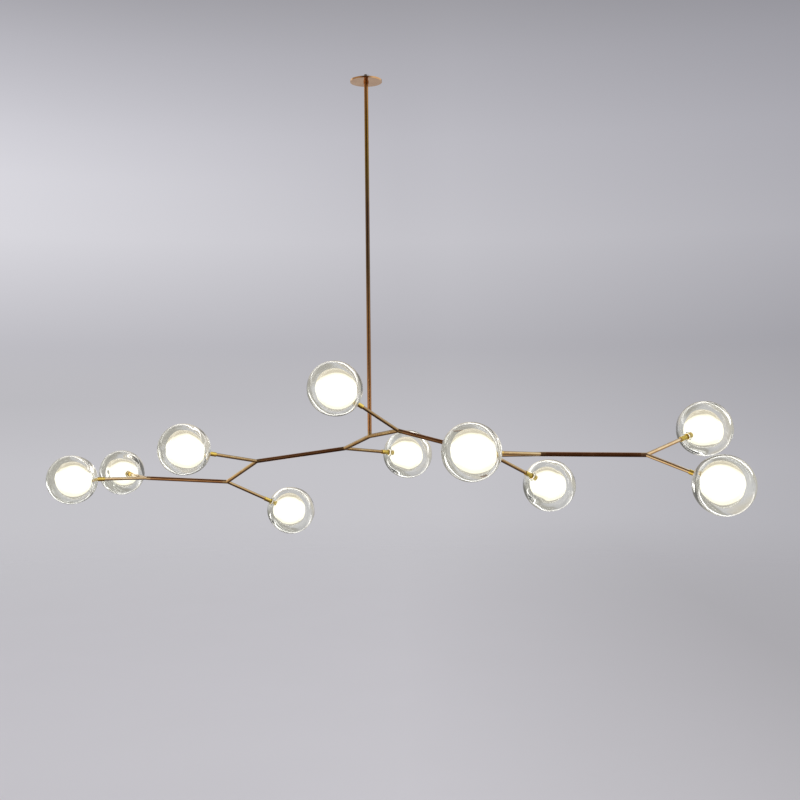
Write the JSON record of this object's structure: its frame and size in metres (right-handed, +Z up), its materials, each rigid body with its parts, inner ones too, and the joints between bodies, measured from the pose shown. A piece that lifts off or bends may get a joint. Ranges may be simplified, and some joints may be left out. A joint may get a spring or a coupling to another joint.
{
  "type": "chandelier",
  "caption": "Branching rod chandelier of forked brass tube on swivels, each arm ending in a clear glass ball round a lit opal ball, hung by one rod from a flat ceiling plate.",
  "frame": {"origin": "middle of the ceiling plane, at the centre of the crossbar's upper face, on the drop rod's axis", "axes": "+Z up out of the room, +X to the right as one faces the pictured side, along the widest spread of the branches, +Y away from the viewer"},
  "size_m": [1.9831, 1.1758, 1.3711],
  "materials": {
    "canopy_brass": "polished",
    "bronze": "darkened",
    "brass": "polished",
    "steel": "turned",
    "ceramic": "glazed white ceramic",
    "lamp_glass": "frosted lamp",
    "clear_glass": "clear, hand blown",
    "opal_glass": "opal, lit from inside"
  },
  "bodies": {
    "ceiling_set": {"canopy": "canopy_brass", "crossbar": "steel", "ceiling_sleeve": "steel", "lock_nut": "steel", "canopy_collar": "bronze"},
    "drop": {"drop_rod": "bronze", "rod_pivot": "steel", "centre_hub": "brass"},
    "left_inner": {"left_inner_hubs": "brass", "left_inner_links": "brass", "left_inner_stem": "brass", "left_inner_arms": "brass", "left_inner_cups": "brass", "left_inner_holders": "ceramic", "left_inner_lamps": "lamp_glass", "left_inner_screw": "steel"},
    "left_outer": {"left_outer_hubs": "brass", "left_outer_link": "brass", "left_outer_stem": "brass", "left_outer_arms": "brass", "left_outer_cups": "brass", "left_outer_holders": "ceramic", "left_outer_lamps": "lamp_glass", "left_outer_screw": "steel"},
    "right_inner": {"right_inner_hubs": "brass", "right_inner_links": "brass", "right_inner_stem": "brass", "right_inner_arms": "brass", "right_inner_cups": "brass", "right_inner_holders": "ceramic", "right_inner_lamps": "lamp_glass", "right_inner_screw": "steel"},
    "right_outer": {"right_outer_hubs": "brass", "right_outer_link": "brass", "right_outer_stem": "brass", "right_outer_arms": "brass", "right_outer_cups": "brass", "right_outer_holders": "ceramic", "right_outer_lamps": "lamp_glass", "right_outer_screw": "steel"},
    "ball_1": {"clear_ball_1": "clear_glass", "opal_ball_1": "opal_glass"},
    "ball_2": {"clear_ball_2": "clear_glass", "opal_ball_2": "opal_glass"},
    "ball_3": {"clear_ball_3": "clear_glass", "opal_ball_3": "opal_glass"},
    "ball_4": {"clear_ball_4": "clear_glass", "opal_ball_4": "opal_glass"},
    "ball_5": {"clear_ball_5": "clear_glass", "opal_ball_5": "opal_glass"},
    "ball_6": {"clear_ball_6": "clear_glass", "opal_ball_6": "opal_glass"},
    "ball_7": {"clear_ball_7": "clear_glass", "opal_ball_7": "opal_glass"},
    "ball_8": {"clear_ball_8": "clear_glass", "opal_ball_8": "opal_glass"},
    "ball_9": {"clear_ball_9": "clear_glass", "opal_ball_9": "opal_glass"},
    "ball_10": {"clear_ball_10": "clear_glass", "opal_ball_10": "opal_glass"}
  },
  "joints": [
    {"name": "branch_left_inner", "type": "hinge", "parent": "drop", "child": "left_inner", "pos_m": [0, 0, -1.03], "axis": [-0.6002, 0.7412, -0.3007], "range_deg": [-165, 165]},
    {"name": "branch_left_outer", "type": "hinge", "parent": "left_inner", "child": "left_outer", "pos_m": [-0.45676, 0.25892, -1.17719], "axis": [-0.5928, 0.7126, -0.3752], "range_deg": [-165, 165]},
    {"name": "branch_right_inner", "type": "hinge", "parent": "drop", "child": "right_inner", "pos_m": [0, 0, -1.03], "axis": [0.6365, -0.7586, 0.1392], "range_deg": [-165, 165]},
    {"name": "branch_right_outer", "type": "hinge", "parent": "right_inner", "child": "right_outer", "pos_m": [0.45442, -0.29838, -1.07112], "axis": [0.605, -0.7949, 0.0461], "range_deg": [-165, 165]},
    {"name": "drop_rod_turn", "type": "hinge", "parent": "ceiling_set", "child": "drop", "pos_m": [0, 0, 0], "axis": [0, 0, 1], "range_deg": [-170, 170]},
    {"name": "globe_01_unscrew", "type": "hinge", "parent": "left_inner", "child": "ball_1", "pos_m": [0.11243, 0.24007, -1.095], "axis": [0.7936, 0.5988, -0.108], "range_deg": [0, 270]},
    {"name": "globe_02_unscrew", "type": "hinge", "parent": "left_inner", "child": "ball_2", "pos_m": [-0.53635, -0.01332, -1.06209], "axis": [-0.801, -0.5702, 0.1825], "range_deg": [0, 270]},
    {"name": "globe_03_unscrew", "type": "hinge", "parent": "left_outer", "child": "ball_3", "pos_m": [-0.2665, 0.3631, -1.27991], "axis": [0.7927, 0.4341, -0.428], "range_deg": [0, 270]},
    {"name": "globe_04_unscrew", "type": "hinge", "parent": "left_outer", "child": "ball_4", "pos_m": [-0.92097, 0.17913, -1.16037], "axis": [-0.832, -0.554, 0.0281], "range_deg": [0, 270]},
    {"name": "globe_05_unscrew", "type": "hinge", "parent": "left_outer", "child": "ball_5", "pos_m": [-0.85411, 0.51189, -1.16119], "axis": [-0.5535, 0.8325, 0.0247], "range_deg": [0, 270]},
    {"name": "globe_06_unscrew", "type": "hinge", "parent": "right_inner", "child": "ball_6", "pos_m": [-0.08721, -0.21942, -0.89307], "axis": [-0.7081, -0.5034, 0.4951], "range_deg": [0, 270]},
    {"name": "globe_07_unscrew", "type": "hinge", "parent": "right_inner", "child": "ball_7", "pos_m": [0.517, -0.01782, -1.17635], "axis": [0.7397, 0.5397, -0.402], "range_deg": [0, 270]},
    {"name": "globe_08_unscrew", "type": "hinge", "parent": "right_outer", "child": "ball_8", "pos_m": [0.26339, -0.44292, -1.05648], "axis": [-0.796, -0.6023, 0.061], "range_deg": [0, 270]},
    {"name": "globe_09_unscrew", "type": "hinge", "parent": "right_outer", "child": "ball_9", "pos_m": [0.91208, -0.20265, -1.01175], "axis": [0.7925, 0.5521, 0.2592], "range_deg": [0, 270]},
    {"name": "globe_10_unscrew", "type": "hinge", "parent": "right_outer", "child": "ball_10", "pos_m": [0.86792, -0.51388, -1.13976], "axis": [0.6085, -0.7447, -0.2742], "range_deg": [0, 270]}
  ]
}
